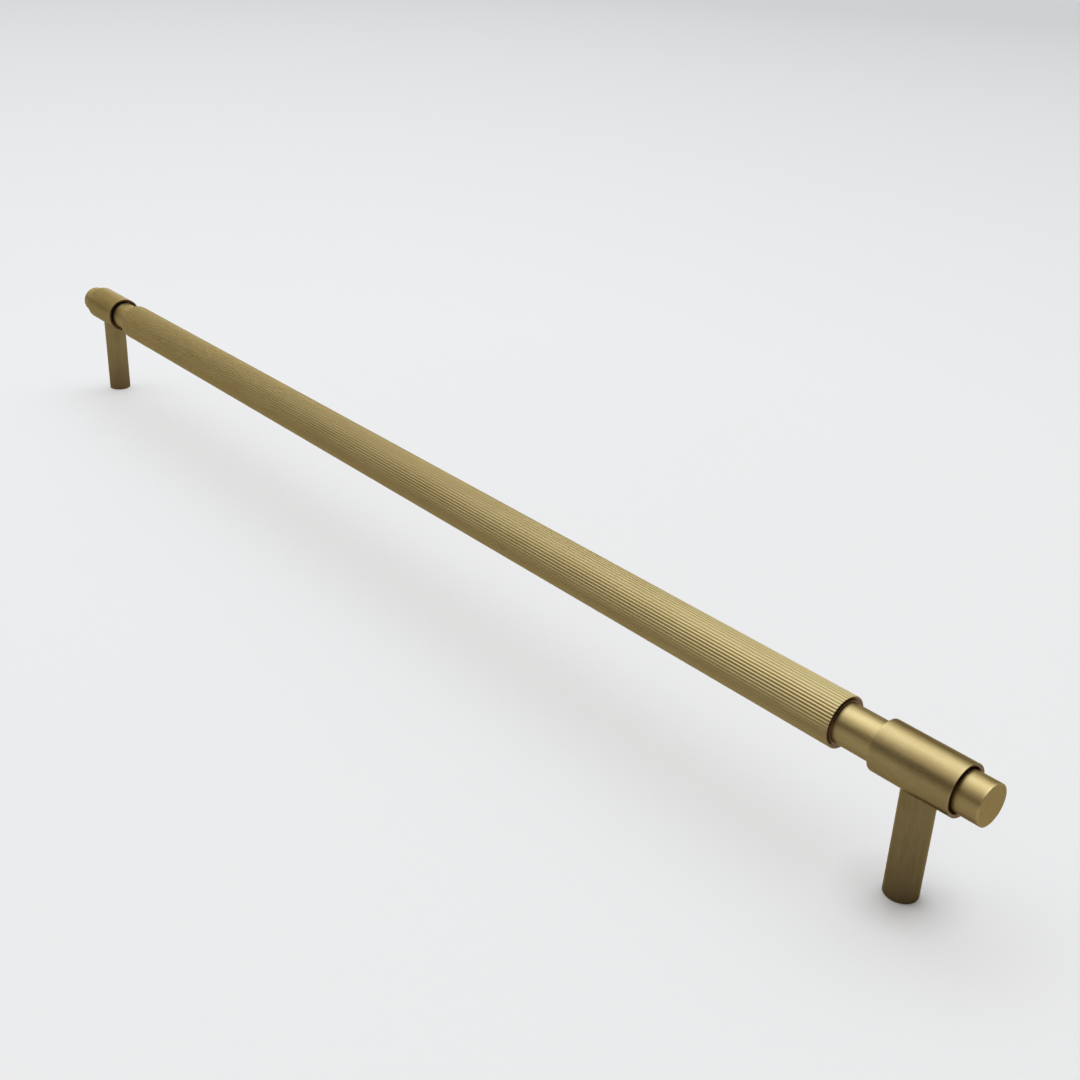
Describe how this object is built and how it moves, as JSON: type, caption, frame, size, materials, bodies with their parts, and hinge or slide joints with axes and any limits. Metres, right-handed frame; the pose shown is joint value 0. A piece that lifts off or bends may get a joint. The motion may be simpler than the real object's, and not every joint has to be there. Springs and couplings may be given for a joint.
{
  "type": "cabinet pull",
  "caption": "Long round bar pull with a finely fluted grip sleeve, a smooth collar near each end and a round post under each collar.",
  "frame": {"origin": "midway between the two feet, on the face that the pull is screwed to", "axes": "+X along the bar, +Z away from the mounting face"},
  "size_m": [0.416, 0.0128, 0.0394],
  "materials": {
    "satin_brass": "satin, finely brushed",
    "fluted_brass": "satin, with cut flutes",
    "plated_steel": "zinc plated"
  },
  "bodies": {
    "root": {"core_rod": "satin_brass", "grip_sleeve": "fluted_brass", "collar_left": "satin_brass", "collar_right": "satin_brass", "post_left": "satin_brass", "post_right": "satin_brass", "stud_left": "plated_steel", "stud_right": "plated_steel"}
  },
  "joints": []
}
